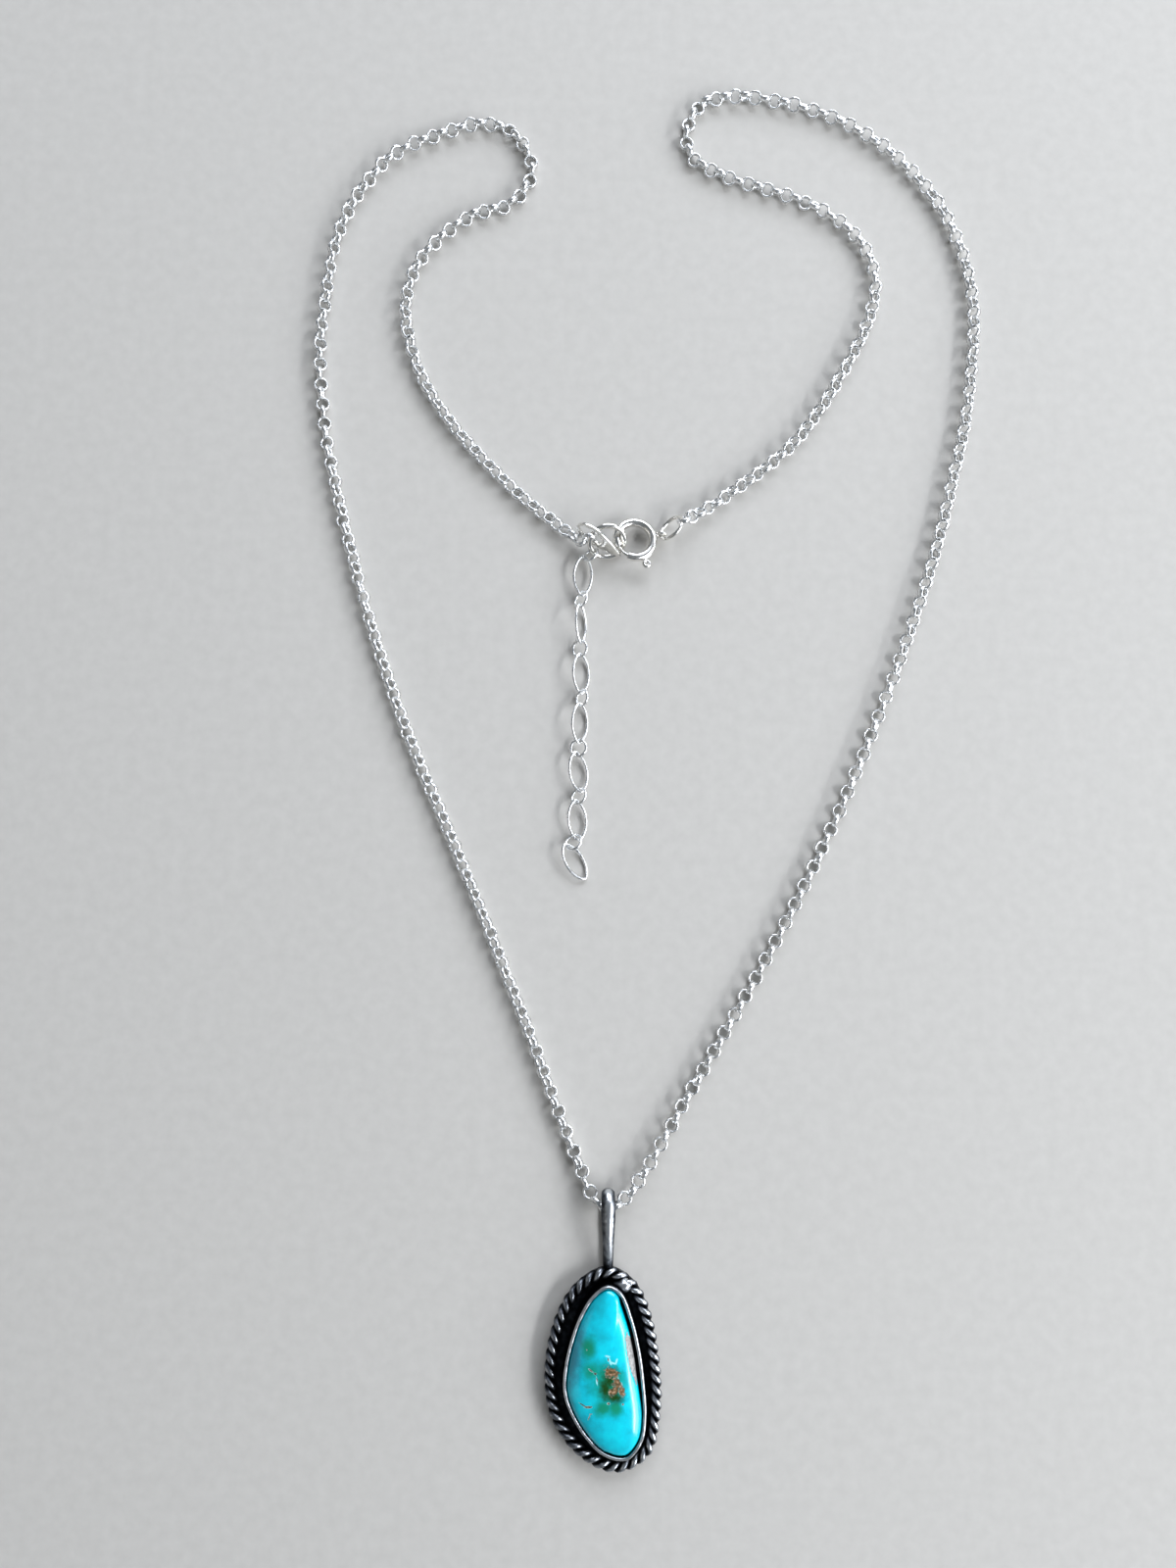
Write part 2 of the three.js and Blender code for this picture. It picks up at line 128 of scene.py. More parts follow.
# Extender: the wire's radius, the long link's half width and half length, how pointed its tips
# are, and the short link's radius. Each link has its place, then heading, pitch and roll in degrees.
EXTENDER_WIRE = 0.175
LONG_HALF = (1.15, 2.55)
LONG_POINT = 0.35
SHORT_RADIUS = 1.06
LONG_LINKS = [
    ((-8.01, 22.06, 0.86), (-2, 2.5, 9.7)), ((-8.27, 15.82, 1.15), (2, 3, 59)),
    ((-8.25, 9.46, 0.83), (2, 2, 32)), ((-8.41, 3.12, 0.86), (-1, 1, 36)),
    ((-8.58, -3.1, 0.8), (9, 4, 19)), ((-8.72, -9.18, 0.72), (5, 7, 14)),
    ((-9.04, -14.38, 0.66), (31, 9, 17)),
]
SHORT_LINKS = [
    ((-7.01, 24.72, 1.05), (-60, 15.3, 131.6)), ((-8.24, 18.97, 0.97), (34, -42, -27)),
    ((-8.4, 12.66, 0.88), (-22, 14, -32)), ((-8.12, 6.3, 1.0), (22, -32, -42)),
    ((-8.56, -0.05, 0.9), (-11, -1, -25)), ((-8.5, -6.12, 0.87), (-6, -19, -38)),
    ((-9.16, -11.92, 0.85), (-63, 11, -38)),
]

# Pendant: outlines clockwise from its head. The back plate reaches PLATE_MARGIN outside the
# middle of the border, whose two wires each run STRAND_OFFSET from that middle.
PLATE_THICKNESS = 0.5
PLATE_MARGIN = 0.42
PLATE_EDGE_RING = 0.5
BORDER_HEIGHT = 1.15
STRAND_RADIUS = 0.37
STRAND_OFFSET = 0.35
STRAND_TURNS = 21.5
BEZEL_TOP = 2.95
BEZEL_WALL = 0.32
BEZEL_OUTLINE = [
    (-4.9, -65.4), (-3.3, -66.3), (-2.1, -69.0), (-1.1, -73.0), (-0.6, -76.8), (-0.4, -80.7),
    (-0.9, -83.6), (-2.7, -85.6), (-5.5, -85.1), (-8.4, -82.1), (-10.2, -78.2), (-10.1, -74.6),
    (-8.5, -69.3), (-6.7, -66.5),
]
BORDER_OUTLINE = [
    (-4.9, -64.3), (-2.1, -65.8), (-0.5, -68.8), (0.65, -74.6), (0.8, -80.5), (-0.4, -85.3),
    (-3.9, -87.1), (-8.1, -85.3), (-11.3, -80.9), (-11.9, -75.0), (-10.4, -69.1), (-8.2, -65.9),
]
STONE_CENTRE = (-5.4, -77.0)
STONE_GAP = 0.08
STONE_RIGHT_GAP = 0.42
# The stone's outline shrunk to a part of its size, and the height where it has that size.
STONE_PROFILE = [
    (1.0, 0.85), (1.0, 1.9), (1.0, 2.5), (0.985, 2.85), (0.95, 3.12), (0.89, 3.36), (0.8, 3.58),
    (0.66, 3.8), (0.48, 3.96), (0.28, 4.05), (0.1, 4.09),
]

# Colours of the stone and of the painted shade on its left flank, and where its markings and that
# shade lie: middle, half width, half length and turn in degrees.
SKY_DEEP = "#00AFC0"
SKY = "#00CADE"
SKY_PALE = "#00DEEC"
FLANK_SHADE = "#00869A"
GREEN = "#008E6E"
HEART = "#0B4006"
PIT_RIM = "#86D6D6"
PALE = "#9CE8EE"
SHADED_FLANK = [(-8.9, -73.2, 1.4, 4.3, -12)]
GREEN_CLOUDS = [
    (-5.0, -76.5, 2.1, 2.8, 0), (-7.3, -72.3, 0.95, 1.5, -12), (-7.0, -74.9, 1.2, 1.2, 0),
    (-4.1, -79.1, 1.0, 1.0, 0), (-5.6, -79.1, 1.4, 1.1, 20),
]
GREEN_HEART = [
    (-5.3, -76.9, 0.7, 1.25, 0), (-4.7, -75.8, 0.9, 1.1, 0), (-4.1, -77.9, 1.15, 0.7, 0),
    (-4.6, -75.0, 0.9, 0.7, 0),
]
MATRIX_CLUSTER = [
    (-4.65, -75.0, 0.9, 0.62, -28), (-4.0, -76.3, 0.55, 0.95, 12), (-3.4, -77.1, 0.4, 0.75, 16),
    (-4.4, -77.2, 0.5, 0.5, 0),
]
MATRIX_PITS = [
    (-6.95, -74.85, 0.3, 0.11, -34), (-6.5, -75.15, 0.16, 0.1, -8), (-6.3, -75.75, 0.06, 0.3, 14),
    (-4.9, -78.55, 0.2, 0.16, 10), (-8.05, -78.8, 0.45, 0.07, -27), (-7.35, -79.05, 0.42, 0.13, 6),
    (-7.2, -80.2, 0.07, 0.35, -22), (-7.0, -79.85, 0.2, 0.06, 8), (-3.2, -78.7, 0.14, 0.12, 0),
    (-7.5, -72.5, 0.08, 0.08, 0), (-4.95, -73.5, 0.07, 0.2, 8),
]
PALE_VEINS = [
    (-5.05, -73.15, 0.24, 0.1, -14), (-4.75, -73.7, 0.1, 0.42, 20), (-4.35, -73.95, 0.34, 0.08, -16),
    (-3.95, -73.7, 0.1, 0.3, -18), (-3.7, -76.0, 0.08, 0.5, 10), (-3.2, -76.9, 0.07, 0.6, 14),
    (-6.3, -76.1, 0.06, 0.4, 12),
]
HOST_ROCK = (-2.12, -73.7, 0.42, 2.95, 12)
HOST_ROCK_DEPTH = 0.22

# Bail: a domed strip's middle line from the head of the setting over the chain and back under
# it, as Y and Z, with the strip's half width and half thickness there. The inside is only
# BAIL_INSIDE as deep as the outside, and BAIL_CROWN draws the crown in narrower than a half round.
BAIL_X = -4.9
BAIL_CROWN = 0.45
BAIL_INSIDE = 0.75
BAIL_LINE = [
    (-64.3, 0.9, 0.6, 0.3), (-63.6, 1.35, 0.6, 0.33), (-62.2, 2.1, 0.64, 0.38),
    (-59.6, 2.92, 0.74, 0.42), (-57.0, 3.24, 0.86, 0.42), (-55.4, 3.0, 0.86, 0.4),
    (-54.48, 2.1, 0.8, 0.36), (-54.9, 0.98, 0.78, 0.3), (-56.4, 0.33, 0.8, 0.26),
    (-60.0, 0.32, 0.7, 0.24), (-64.8, 0.32, 0.6, 0.24),
]
SOLDER_PLACE = (-3.05, -65.75, 1.3)
SOLDER_SIZE = (1.2, 0.85, 0.93)

# ---------------------------------------------------------------- lines


def smooth_line(points, steps=24, closed=False):
    """Points along the centripetal Catmull-Rom curve through the given ones."""
    points = np.array(points, dtype=float)
    count = len(points)
    line = []
    for i in range(count if closed else count - 1):
        if closed:
            p0, p1, p2, p3 = (points[(i + k) % count] for k in (-1, 0, 1, 2))
        else:
            p1, p2 = points[i], points[i + 1]
            p0 = points[i - 1] if i > 0 else 2 * p1 - p2
            p3 = points[i + 2] if i + 2 < count else 2 * p2 - p1
        d0, d1, d2 = (np.linalg.norm(b - a) ** 0.5 for a, b in ((p0, p1), (p1, p2), (p2, p3)))
        m1 = ((p1 - p0) / d0 - (p2 - p0) / (d0 + d1) + (p2 - p1) / d1) * d1
        m2 = ((p2 - p1) / d1 - (p3 - p1) / (d1 + d2) + (p3 - p2) / d2) * d1
        for t in np.arange(steps) / steps:
            line.append(
                (2 * t**3 - 3 * t**2 + 1) * p1 + (t**3 - 2 * t**2 + t) * m1
                + (-2 * t**3 + 3 * t**2) * p2 + (t**3 - t**2) * m2
            )
    line.append(points[0] if closed else points[-1])
    return np.array(line)


def lengths_along(line):
    return np.concatenate(([0.0], np.cumsum(np.linalg.norm(np.diff(line, axis=0), axis=1))))


def at_length(line, lengths, distance):
    return np.array([np.interp(distance, lengths, line[:, k]) for k in range(line.shape[1])])


class Outline:
    """A smooth closed outline given clockwise, read by the part of its length from its first point."""

    def __init__(self, corners):
        self.line = smooth_line([(x, y, 0.0) for x, y in corners], closed=True)
        self.lengths = lengths_along(self.line)
        self.length = self.lengths[-1]

    def at(self, part):
        return at_length(self.line, self.lengths, (part % 1.0) * self.length)[:2]

    def outward(self, part):
        step = 0.002
        along = self.at(part + step) - self.at(part - step)
        along /= np.linalg.norm(along)
        return np.array([-along[1], along[0]])

    def offset(self, part, distance):
        return self.at(part) + self.outward(part) * distance


def ease(value):
    value = min(max(value, 0.0), 1.0)
    return value * value * (3 - 2 * value)


# ---------------------------------------------------------------- modelling


def deselect_all():
    if bpy.context.object and bpy.context.object.mode != "OBJECT":
        bpy.ops.object.mode_set(mode="OBJECT")
    bpy.ops.object.select_all(action="DESELECT")


def edit(piece):
    deselect_all()
    piece.select_set(True)
    bpy.context.view_layer.objects.active = piece
    bpy.ops.object.mode_set(mode="EDIT")


def close_seams(piece):
    """Merges doubled points, and turns every face outwards."""
    edit(piece)
    bpy.ops.mesh.select_all(action="SELECT")
    bpy.ops.mesh.remove_doubles(threshold=0.002 * MM)
    bpy.ops.mesh.select_all(action="SELECT")
    bpy.ops.mesh.normals_make_consistent(inside=False)
    bpy.ops.object.mode_set(mode="OBJECT")


def loop_of_edges(name, spots):
    """A closed loop of edges through the given spots, in millimetres."""
    deselect_all()
    bpy.ops.mesh.primitive_circle_add(vertices=len(spots), radius=MM)
    piece = bpy.context.object
    piece.name = piece.data.name = name
    for vertex, spot in zip(piece.data.vertices, spots):
        vertex.co = Vector(spot) * MM
    return piece


def extrude_step(move, grow=(1, 1, 1), centre=(0, 0, 0), turn=0.0):
    """Extrudes what is selected and moves it, then grows it and turns it about X round a centre."""
    bpy.ops.mesh.extrude_region_move(TRANSFORM_OT_translate={"value": tuple(Vector(move) * MM)})
    centre = tuple(Vector(centre) * MM)
    if turn:
        bpy.ops.transform.rotate(value=turn, orient_axis="X", center_override=centre)
    if tuple(grow) != (1, 1, 1):
        bpy.ops.transform.resize(value=grow, center_override=centre)


def drawn_along(name, line, radius=0.0, across=2, section=None, flat=False):
    """A closed wire or strip drawn along a line: a curve with a round or given section, made a mesh."""
    def curve_object(label, spots, kind):
        curve = bpy.data.curves.new(label, "CURVE")
        curve.dimensions = kind
        spline = curve.splines.new("POLY")
        spline.points.add(len(spots) - 1)
        for point, spot in zip(spline.points, spots):
            point.co = tuple(np.append(spot, [0.0] * (3 - len(spot))) * MM) + (1.0,)
        spline.use_cyclic_u = True
        piece = bpy.data.objects.new(label, curve)
        bpy.context.collection.objects.link(piece)
        return piece

    deselect_all()
    path = curve_object(name, line, "2D" if flat else "3D")
    path.data.fill_mode = "NONE" if flat else "FULL"
    if section is None:
        path.data.bevel_depth = radius * MM
        path.data.bevel_resolution = across
    else:
        profile = curve_object(name + "_section", section, "2D")
        path.data.bevel_mode = "OBJECT"
        path.data.bevel_object = profile
    path.select_set(True)
    bpy.context.view_layer.objects.active = path
    bpy.ops.object.convert(target="MESH")
    piece = bpy.context.object
    piece.data.name = name
    if section is not None:
        bpy.data.objects.remove(profile)
    close_seams(piece)
    return piece


def set_wear_and_light(piece, rule):
    """Stores each point's brightness, from buffing and painted light and shade, which rule gives from its
    place in millimetres.
    """
    wear_and_light = piece.data.attributes.new("wear_and_light", "FLOAT", "POINT")
    for vertex in piece.data.vertices:
        wear_and_light.data[vertex.index].value = rule(np.array(vertex.co) / MM)


def wire_ring(name, radius, wire, around=64, across=14):
    deselect_all()
    bpy.ops.mesh.primitive_torus_add(
        major_radius=radius * MM, minor_radius=wire * MM, major_segments=around, minor_segments=across,
    )
    piece = bpy.context.object
    piece.name = piece.data.name = name
    return piece


def apply_place(piece, matrix=None):
    if matrix is not None:
        piece.matrix_world = matrix @ piece.matrix_world
    deselect_all()
    piece.select_set(True)
    bpy.context.view_layer.objects.active = piece
    bpy.ops.object.transform_apply(location=True, rotation=True, scale=True)


def apply_modifier(piece, kind, **settings):
    modifier = piece.modifiers.new(kind.lower(), kind)
    for name, value in settings.items():
        setattr(modifier, name, value)
    deselect_all()
    piece.select_set(True)
    bpy.context.view_layer.objects.active = piece
    bpy.ops.object.modifier_apply(modifier=modifier.name)


def join(name, pieces):
    deselect_all()
    for piece in pieces:
        piece.select_set(True)
    bpy.context.view_layer.objects.active = pieces[0]
    bpy.ops.object.join()
    pieces[0].name = pieces[0].data.name = name
    return pieces[0]


def finish_piece(piece, material, stands_for=(), body=BODY, smooth=50):
    deselect_all()
    piece.select_set(True)
    bpy.context.view_layer.objects.active = piece
    bpy.ops.object.shade_smooth_by_angle(angle=math.radians(smooth))
    piece.data.materials.clear()
    piece.data.materials.append(material)
    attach(piece, body)
    if stands_for:
        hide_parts(*stands_for)
    return piece


def lean_matrix(centre, lean):
    """Placed at a centre in millimetres, leaning about X and then about Y."""
    turn = Matrix.Rotation(math.radians(lean[1]), 4, "Y") @ Matrix.Rotation(math.radians(lean[0]), 4, "X")
    return Matrix.Translation(Vector(centre) * MM) @ turn


# ---------------------------------------------------------------- materials


def linear(hex_colour):
    """An sRGB hex colour as linear red, green, blue and alpha."""
    channels = [int(hex_colour[k:k + 2], 16) / 255 for k in (1, 3, 5)]
    return tuple(c / 12.92 if c <= 0.04045 else ((c + 0.055) / 1.055) ** 2.4 for c in channels) + (1.0,)


def new_material(name):
    material = bpy.data.materials.new(name)
    material.use_nodes = True
    material.node_tree.nodes.clear()
    return material, material.node_tree


def add_node(tree, kind, inputs, stops=(), **settings):
    """Adds a node with its settings. An input takes a value, or the node or output to link to it;
    stops are a colour ramp's places and colours."""
    node = tree.nodes.new("ShaderNode" + kind)
    for name, value in settings.items():
        setattr(node, name, value)
    for name, value in inputs.items():
        if isinstance(value, bpy.types.Node):
            value = next(output for output in value.outputs if output.enabled)
        if isinstance(value, bpy.types.NodeSocket):
            tree.links.new(value, node.inputs[name])
        else:
            node.inputs[name].default_value = value
    for number, (place, colour) in enumerate(stops):
        elements = node.color_ramp.elements
        if number >= len(elements) - 1 and number < len(stops) - 1:
            elements.new((place + 1) / 2)
        elements[number].position = place
        elements[number].color = linear(colour)
    return node


def blotch_scale(size):
    """The noise scale whose blotches are about size millimetres across."""
    return 1 / (size * MM)


def polished_silver(name, bright, dull, gloss):
    """Sterling silver, drawn, soldered and tumbled bright: a near-white metal that mirrors the room,
    with soft handling marks and grey tarnish where links and wires touch."""
    material, tree = new_material(name)
    place = add_node(tree, "TexCoord", {}).outputs["Object"]
    # Handling marks are blotches about 0.6 mm across; tarnish reaches 0.3 mm out of a corner.
    marks = add_node(tree, "TexNoise", {"Vector": place, "Scale": blotch_scale(0.6), "Detail": 3.0})
    scratches = add_node(tree, "TexNoise", {"Vector": place, "Scale": blotch_scale(0.15), "Detail": 2.0})
    corner = add_node(tree, "AmbientOcclusion", {"Distance": 0.3 * MM}, samples=8, only_local=True)
    open_metal = add_node(tree, "ValToRGB", {"Fac": corner.outputs["AO"]}, [(0.2, dull), (0.65, bright)])
    marked = add_node(tree, "ValToRGB", {"Fac": marks}, [(0.34, dull), (0.6, bright)])
    colour = add_node(tree, "Mix", {0: 0.14, 6: open_metal, 7: marked}, data_type="RGBA")
    rough = add_node(tree, "MapRange", {"Value": marks, "From Min": 0.3, "From Max": 0.7,
                                        "To Min": gloss * 0.75, "To Max": gloss * 1.35})
    # Polishing scratches, drawn coarser than they are, about 0.15 mm apart.
    bump = add_node(tree, "Bump", {"Height": scratches, "Strength": 0.12,
                                   "Distance": 0.01 * MM})
    shader = add_node(tree, "BsdfPrincipled", {"Base Color": colour, "Metallic": 1.0, "Roughness": rough,
                                               "Normal": bump})
    add_node(tree, "OutputMaterial", {"Surface": shader})
    return material


def oxidised_silver_finish():
    """Sterling silver blackened with liver of sulphur and buffed: bright again on the high places,
    grey on the flanks and black in every recess."""
    material, tree = new_material("oxidised sterling silver, buffed")
    place = add_node(tree, "TexCoord", {}).outputs["Object"]
    # The attribute holds buffing and painted light: the rope's lit right side, the bail's crown highlight
    # and shaded lower end, and the bead's lit right side.
    wear_and_light = add_node(tree, "Attribute", {}, attribute_name="wear_and_light").outputs["Fac"]
    facing = add_node(tree, "SeparateXYZ", {"Vector": add_node(tree, "NewGeometry", {}).outputs["Normal"]})
    underside = add_node(tree, "Math", {0: facing.outputs["Z"], 1: -1.0}, operation="MULTIPLY")
    corner = add_node(tree, "AmbientOcclusion", {"Distance": 0.8 * MM}, samples=8).outputs["AO"]
    # Recesses stay black; the flat underside, which rests on cloth and skin, doesn't.
    corner = add_node(tree, "Math", {0: corner, 1: underside}, operation="MAXIMUM")
    # The patina is left in blotches about 0.7 mm across.
    patina = add_node(tree, "TexNoise", {"Vector": place, "Scale": blotch_scale(0.7), "Detail": 4.0})
    blotch = add_node(tree, "MapRange", {"Value": patina, "From Min": 0.3, "From Max": 0.7,
                                         "To Min": -0.22, "To Max": 0.16})
    uneven = add_node(tree, "Math", {0: wear_and_light, 1: blotch}, operation="ADD")
    buffed_and_lit = add_node(tree, "Math", {0: uneven, 1: corner}, operation="MULTIPLY")
    colour = add_node(tree, "ValToRGB", {"Fac": buffed_and_lit}, [
        (0.1, "#16181B"), (0.34, "#3A3D42"), (0.66, "#80848A"), (0.95, "#D6DADD"),
    ])
    rough = add_node(tree, "MapRange", {"Value": buffed_and_lit, "From Min": 0.1, "From Max": 0.9,
                                        "To Min": 0.45, "To Max": 0.29})
    # Hammer and file marks are about 0.35 mm apart.
    hammered = add_node(tree, "TexNoise", {"Vector": place, "Scale": blotch_scale(0.35), "Detail": 3.0})
    bump = add_node(tree, "Bump", {"Height": hammered, "Strength": 0.35, "Distance": 0.02 * MM})
    shader = add_node(tree, "BsdfPrincipled", {"Base Color": colour, "Metallic": 1.0, "Roughness": rough,
                                               "Normal": bump})
    add_node(tree, "OutputMaterial", {"Surface": shader})
    return material


def nearness(tree, place, ragged, strength, spots):
    """How near a point is to the nearest of some ellipses: 1 inside, 0 well outside. Each is its
    middle, half width, half length and turn; the noise breaks up its edge."""
    nearest = None
    for x, y, half_width, half_length, turn in spots:
        moved = add_node(tree, "Mapping", {
            "Vector": place, "Location": (x * MM, y * MM, 0.0), "Rotation": (0.0, 0.0, math.radians(turn)),
            "Scale": (half_width * MM, half_length * MM, 1.0),
        }, vector_type="TEXTURE")
        reach = add_node(tree, "VectorMath", {0: moved}, operation="LENGTH").outputs["Value"]
        nearest = add_node(tree, "Math", {0: nearest, 1: reach}, operation="MINIMUM") if nearest else reach
    broken = add_node(tree, "MapRange", {"Value": ragged, "From Min": 0.25, "From Max": 0.75,
                                         "To Min": -strength, "To Max": strength})
    return add_node(tree, "Math", {0: nearest, 1: broken}, operation="ADD")


def polished_turquoise():
    """Natural turquoise, ground and polished: waxy blue with greener clouds, a dark green heart,
    brown matrix in shallow pits with pale rims, and grey host rock along one edge."""
    material, tree = new_material("polished turquoise with matrix")
    place = add_node(tree, "TexCoord", {}).outputs["Object"]
    # Grain in the matrix is about 0.3 mm across, its ragged edges 0.55 mm and the clouds 2.2 mm.
    grain = add_node(tree, "TexNoise", {"Vector": place, "Scale": blotch_scale(0.3), "Detail": 6.0})
    ragged = add_node(tree, "TexNoise", {"Vector": place, "Scale": blotch_scale(0.55), "Detail": 5.0,
                                         "Roughness": 0.62})
    cloud = add_node(tree, "TexNoise", {"Vector": place, "Scale": blotch_scale(2.2), "Detail": 5.0,
                                        "Roughness": 0.6})

    def laid_over(colour, patch, over, inner, outer):
        cover = add_node(tree, "MapRange", {"Value": patch, "From Min": inner, "From Max": outer,
                                            "To Min": 1.0, "To Max": 0.0}, interpolation_type="SMOOTHSTEP")
        return add_node(tree, "Mix", {0: cover, 6: colour, 7: over}, data_type="RGBA"), cover

    colour = add_node(tree, "ValToRGB", {"Fac": cloud}, [(0.3, SKY_DEEP), (0.52, SKY), (0.75, SKY_PALE)])
    # Painted shade: the left flank is darkened to a deeper teal, away from the light.
    colour, _ = laid_over(colour, nearness(tree, place, cloud, 0.4, SHADED_FLANK), linear(FLANK_SHADE), 0.2, 1.4)
    colour, _ = laid_over(colour, nearness(tree, place, cloud, 0.3, GREEN_CLOUDS), linear(GREEN), 0.2, 1.45)
    colour, _ = laid_over(colour, nearness(tree, place, ragged, 0.35, GREEN_HEART), linear(HEART), 0.2, 1.6)
    colour, _ = laid_over(colour, nearness(tree, place, ragged, 0.85, PALE_VEINS), linear(PALE), 0.7, 1.6)
    brown = add_node(tree, "ValToRGB", {"Fac": grain}, [
        (0.32, "#263208"), (0.44, "#5A4216"), (0.56, "#7C5C32"), (0.66, "#BA957A"),
    ])
    matrix = nearness(tree, place, ragged, 0.75, MATRIX_CLUSTER)
    colour, cluster = laid_over(colour, matrix, brown, 0.72, 1.12)
    pits = nearness(tree, place, ragged, 0.6, MATRIX_PITS)
    colour, _ = laid_over(colour, pits, linear(PIT_RIM), 1.08, 1.3)
    earth = add_node(tree, "ValToRGB", {"Fac": grain}, [
        (0.34, "#3C3426"), (0.5, "#6E6250"), (0.66, "#A8977F"),
    ])
    colour, sunk = laid_over(colour, pits, earth, 0.86, 1.1)
    host = add_node(tree, "ValToRGB", {"Fac": grain}, [
        (0.3, "#696763"), (0.52, "#A09F9B"), (0.72, "#B9B6B0"),
    ])
    colour, rock = laid_over(colour, nearness(tree, place, ragged, 0.14, [HOST_ROCK]), host, 0.96, 1.04)
    dull = add_node(tree, "Math", {0: sunk, 1: rock}, operation="MAXIMUM")
    dull = add_node(tree, "Math", {0: dull, 1: cluster}, operation="MAXIMUM")
    rough = add_node(tree, "MapRange", {"Value": dull, "To Min": 0.17, "To Max": 0.5})
    pitted = add_node(tree, "Math", {0: grain, 1: dull}, operation="MULTIPLY")
    depth = add_node(tree, "Math", {0: pitted, 1: dull}, operation="ADD")
    bump = add_node(tree, "Bump", {"Height": depth, "Strength": 0.5, "Distance": 0.1 * MM}, invert=True)
    shader = add_node(tree, "BsdfPrincipled", {
        "Base Color": colour, "Roughness": rough, "IOR": 1.61, "Coat Weight": 0.12, "Coat Roughness": 0.12,
        "Normal": bump,
    })
    add_node(tree, "OutputMaterial", {"Surface": shader})
    return material


def matt_board():
    """Painted board under the necklace: a dull off-white with a faint roller texture."""
    material, tree = new_material("matt painted board")
    place = add_node(tree, "TexCoord", {}).outputs["Object"]
    # Roller texture about 1.5 mm across.
    roller = add_node(tree, "TexNoise", {"Vector": place, "Scale": blotch_scale(1.5), "Detail": 4.0})
    colour = add_node(tree, "ValToRGB", {"Fac": roller}, [(0.3, "#BFBCB6"), (0.7, "#C5C2BC")])
    shader = add_node(tree, "BsdfPrincipled", {"Base Color": colour, "Roughness": 0.85})
    add_node(tree, "OutputMaterial", {"Surface": shader})
    return material


chain_silver = polished_silver("sterling silver wire, tumbled", "#F4F5F5", "#8A8984", 0.27)
clasp_silver = polished_silver("sterling silver findings, tumbled", "#EDEBE6", "#716D64", 0.2)
oxidised_silver = oxidised_silver_finish()
turquoise = polished_turquoise()

# ---------------------------------------------------------------- rolo chain


def rolo_link():
    """One link: a ring of oval wire, wider along its axis than it is thick."""
    middle = LINK_RADIUS - LINK_WIRE / 2
    link = wire_ring("rolo_link", middle, LINK_WIRE / 2, around=16, across=6)
    widen = LINK_BAND / LINK_WIRE
    edit(link)
    bpy.ops.mesh.select_all(action="SELECT")
    bpy.ops.transform.resize(value=(1, 1, widen))
    bpy.ops.object.mode_set(mode="OBJECT")
    return link


def roll_at(part):
    parts, turns = zip(*CHAIN_ROLL)
    return math.radians(np.interp(part, parts, turns))


def make_chain():
    line = smooth_line([spot if len(spot) == 3 else (*spot, CHAIN_HEIGHT) for spot in CHAIN_ROUTE])
    line[:, 2] = np.maximum(line[:, 2], CHAIN_HEIGHT)
    lengths = lengths_along(line)
    # An odd number, so that both ends have rolled as CHAIN_ROLL says.
    count = 2 * round(lengths[-1] / LINK_PITCH / 2) + 1
    # The line's direction at a link is read this far to each side of it.
    reach = 0.4
    first = rolo_link()
    links = [first]
    for i in range(1, count):
        link = first.copy()
        link.data = first.data.copy()
        bpy.context.collection.objects.link(link)
        links.append(link)
    for i, link in enumerate(links):
        part = i / (count - 1)
        distance = part * lengths[-1]
        middle, before, after = (at_length(line, lengths, distance + step) for step in (0, -reach, reach))
        along = (after - before) / np.linalg.norm(after - before)
        side = np.cross(UP, along)
        side /= np.linalg.norm(side)
        over = np.cross(along, side)
        loose = 0 if i in (0, count - 1) else 1
        roll = roll_at(part) + (i % 2) * math.pi / 2 + loose * random.gauss(0, math.radians(ROLL_SPREAD))
        axis = math.cos(roll) * over + math.sin(roll) * side
        along = along + loose * random.gauss(0, HEADING_SPREAD) * side
        across = np.cross(axis, along)
        across /= np.linalg.norm(across)
        along = np.cross(across, axis)
        # Its tilt lifts or lowers a link, so that it rests on the surface where the chain lies flat.
        lying = abs(axis[2])
        rest = LINK_RADIUS * math.sqrt(1 - lying**2) + LINK_BAND / 2 * lying + FLOOR_GAP
        middle = middle + loose * random.gauss(0, PLACE_SPREAD) * side
        middle[2] += (rest - CHAIN_HEIGHT) * loose
        turn = Matrix(np.column_stack((along, across, axis)).tolist()).to_4x4()
        link.matrix_world = Matrix.Translation(Vector(middle) * MM) @ turn
    chain = join("rolo_chain_links", links)
    apply_place(chain)
    return finish_piece(chain, chain_silver, ["rolo_chain"], smooth=80)


make_chain()

# ---------------------------------------------------------------- jump rings


def jump_ring(name, ring, cut_angle, stands_for):
    """Round wire bent to a ring, with the fine line of its closed joint."""
    centre, radius, wire, lean = ring
    piece = wire_ring(name, radius, wire, around=72, across=16)
    for vertex in piece.data.vertices:
        spot = vertex.co / MM
        angle = math.degrees(math.atan2(spot.y, spot.x)) % 360
        away = abs((angle - cut_angle + 180) % 360 - 180)
        if away < JOINT_HALF_ANGLE:
            # The two wire ends are filed a little thinner where they meet.
            ring_middle = Vector((spot.x, spot.y, 0)).normalized() * radius
            vertex.co = (ring_middle + (spot - ring_middle) * (1 - JOINT_DEPTH / wire)) * MM
    apply_place(piece, lean_matrix(centre, lean))
    return finish_piece(piece, clasp_silver, [stands_for], smooth=60)


jump_ring("jump_ring_large_wire", LARGE_RING, 120, "jump_ring_large")
jump_ring("jump_ring_small_wire", SMALL_RING, 250, "jump_ring_small")

# ---------------------------------------------------------------- spring ring


def face_spot(face):
    """A face's middle as its angle round Z in degrees, its distance from Z and its height."""
    middle = face.calc_center_median() / MM
    return math.degrees(math.atan2(middle.y, middle.x)) % 360, math.hypot(middle.x, middle.y), middle.z


